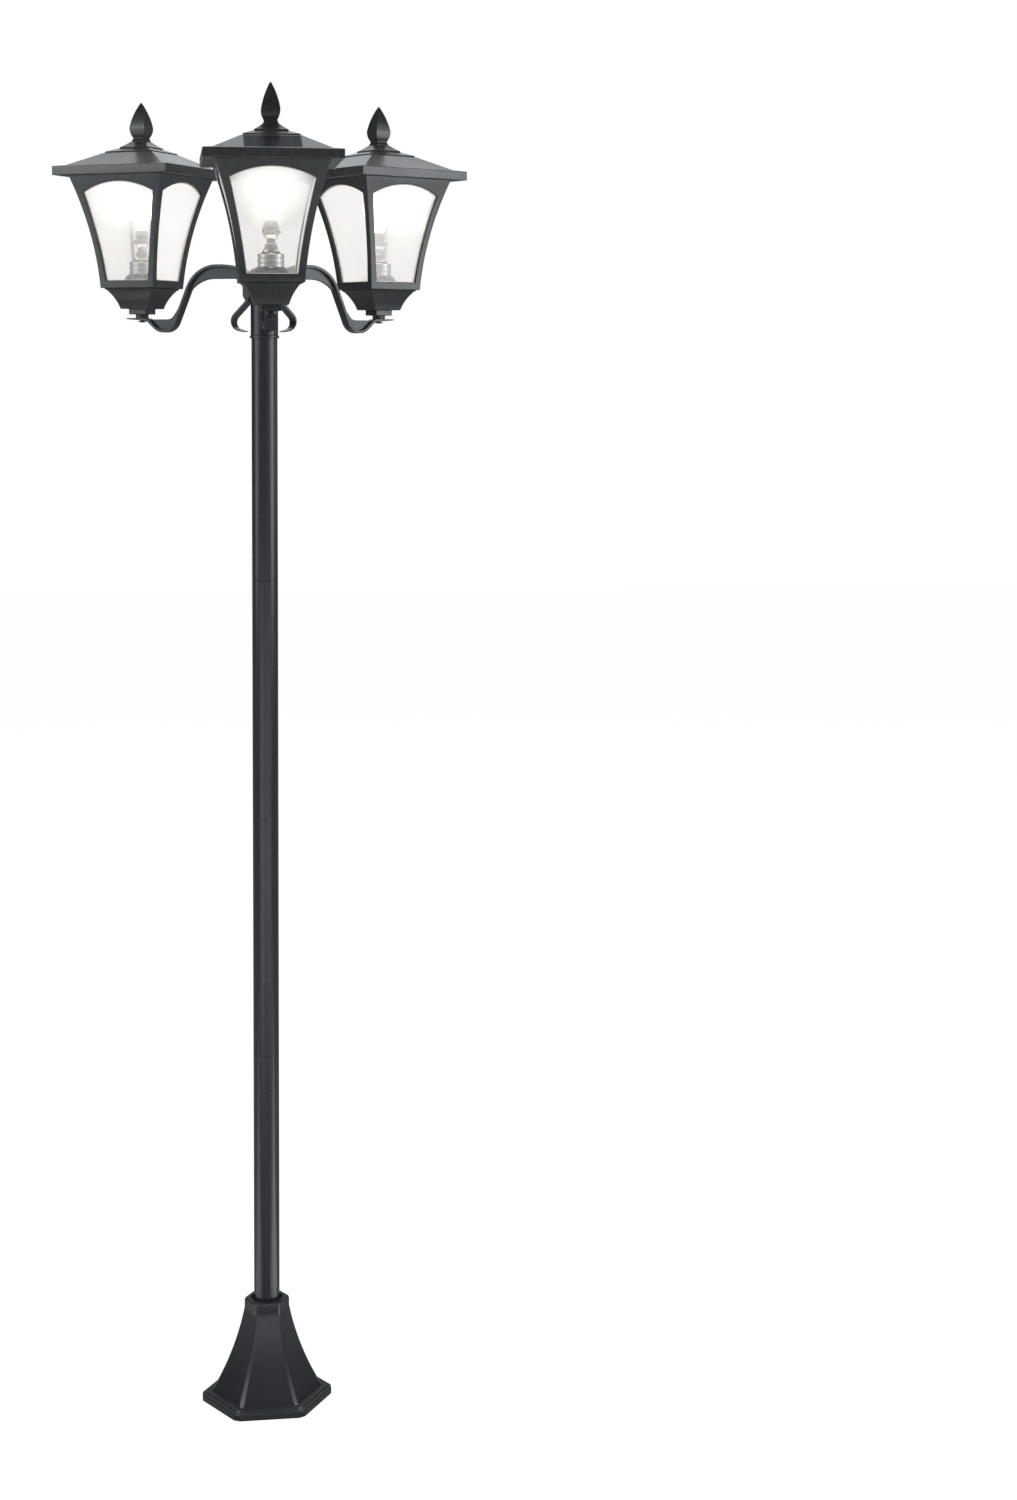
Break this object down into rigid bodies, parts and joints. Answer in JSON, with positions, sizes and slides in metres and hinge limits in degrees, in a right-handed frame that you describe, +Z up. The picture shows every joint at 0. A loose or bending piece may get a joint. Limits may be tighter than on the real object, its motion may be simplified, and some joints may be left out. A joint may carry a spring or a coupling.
{
  "type": "triple head lamp post",
  "caption": "Outdoor lamp post with three flared square lanterns on scroll arms, a sectional round pole and a six-sided flared base cover over a bolted ground plate.",
  "frame": {"origin": "centre of the ground plate's underside, on the pole's axis at ground level", "axes": "+Z up along the pole; the front arm points along -Y, the other two follow at 120 degrees"},
  "size_m": [0.5832, 0.5051, 1.829],
  "materials": {
    "pole_paint": "semi-gloss black powder coat",
    "cast_paint": "semi-gloss black powder coat on castings",
    "lantern_paint": "satin black powder coat",
    "zinc_steel": "zinc plated",
    "black_steel": "blackened",
    "clear_glass": "clear",
    "opal_glass": "frosted",
    "reflector_metal": "polished",
    "holder_metal": "satin",
    "black_plastic": "matt",
    "button_plastic": "satin",
    "solar_cell": "glossy",
    "battery_wrap": "shrink wrap",
    "board_laminate": "solder mask"
  },
  "bodies": {
    "post": {"ground_plate": "pole_paint", "set_screws": "zinc_steel", "pole_couplers": "zinc_steel", "pole_section_1": "pole_paint", "pole_section_2": "pole_paint", "pole_section_3": "pole_paint", "pole_section_4": "pole_paint", "hub": "cast_paint", "hub_cap": "cast_paint", "arm_screws": "black_steel", "seat_bolts": "black_steel", "front_arm": "cast_paint", "right_arm": "cast_paint", "left_arm": "cast_paint", "front_cup": "lantern_paint", "front_cage": "lantern_paint", "front_panes": "clear_glass", "front_dish": "reflector_metal", "front_lamp_holder": "holder_metal", "right_cup": "lantern_paint", "right_cage": "lantern_paint", "right_panes": "clear_glass", "right_dish": "reflector_metal", "right_lamp_holder": "holder_metal", "left_cup": "lantern_paint", "left_cage": "lantern_paint", "left_panes": "clear_glass", "left_dish": "reflector_metal", "left_lamp_holder": "holder_metal"},
    "base_cover": {"base_cover": "cast_paint"},
    "front_lid": {"front_roof": "lantern_paint", "front_solar_panel": "solar_cell", "front_tray": "black_plastic", "front_tray_screws": "black_steel", "front_battery": "battery_wrap", "front_circuit_board": "board_laminate", "front_finial": "lantern_paint"},
    "front_switch": {"front_switch_button": "button_plastic"},
    "front_bulb": {"front_bulb_base": "holder_metal", "front_bulb_globe": "opal_glass"},
    "right_lid": {"right_roof": "lantern_paint", "right_solar_panel": "solar_cell", "right_tray": "black_plastic", "right_tray_screws": "black_steel", "right_battery": "battery_wrap", "right_circuit_board": "board_laminate", "right_finial": "lantern_paint"},
    "right_switch": {"right_switch_button": "button_plastic"},
    "right_bulb": {"right_bulb_base": "holder_metal", "right_bulb_globe": "opal_glass"},
    "left_lid": {"left_roof": "lantern_paint", "left_solar_panel": "solar_cell", "left_tray": "black_plastic", "left_tray_screws": "black_steel", "left_battery": "battery_wrap", "left_circuit_board": "board_laminate", "left_finial": "lantern_paint"},
    "left_switch": {"left_switch_button": "button_plastic"},
    "left_bulb": {"left_bulb_base": "holder_metal", "left_bulb_globe": "opal_glass"}
  },
  "joints": [
    {"name": "base_cover_slide", "type": "slide", "parent": "post", "child": "base_cover", "axis": [0, 0, 1], "range_m": [0, 0.2]},
    {"name": "front_lid_lift", "type": "slide", "parent": "post", "child": "front_lid", "axis": [0, 0, 1], "range_m": [0, 0.12]},
    {"name": "front_switch_press", "type": "slide", "parent": "front_lid", "child": "front_switch", "axis": [0, 0, 1], "range_m": [0, 0.002], "stiffness_N_per_m": 250, "springref_m": -0.003},
    {"name": "front_bulb_turn", "type": "hinge", "parent": "post", "child": "front_bulb", "pos_m": [0, -0.194, 1.62], "axis": [0, 0, 1], "continuous": true},
    {"name": "right_lid_lift", "type": "slide", "parent": "post", "child": "right_lid", "axis": [0, 0, 1], "range_m": [0, 0.12]},
    {"name": "right_switch_press", "type": "slide", "parent": "right_lid", "child": "right_switch", "axis": [0, 0, 1], "range_m": [0, 0.002], "stiffness_N_per_m": 250, "springref_m": -0.003},
    {"name": "right_bulb_turn", "type": "hinge", "parent": "post", "child": "right_bulb", "pos_m": [0.16801, 0.097, 1.62], "axis": [0, 0, 1], "continuous": true},
    {"name": "left_lid_lift", "type": "slide", "parent": "post", "child": "left_lid", "axis": [0, 0, 1], "range_m": [0, 0.12]},
    {"name": "left_switch_press", "type": "slide", "parent": "left_lid", "child": "left_switch", "axis": [0, 0, 1], "range_m": [0, 0.002], "stiffness_N_per_m": 250, "springref_m": -0.003},
    {"name": "left_bulb_turn", "type": "hinge", "parent": "post", "child": "left_bulb", "pos_m": [-0.16801, 0.097, 1.62], "axis": [0, 0, 1], "continuous": true}
  ]
}
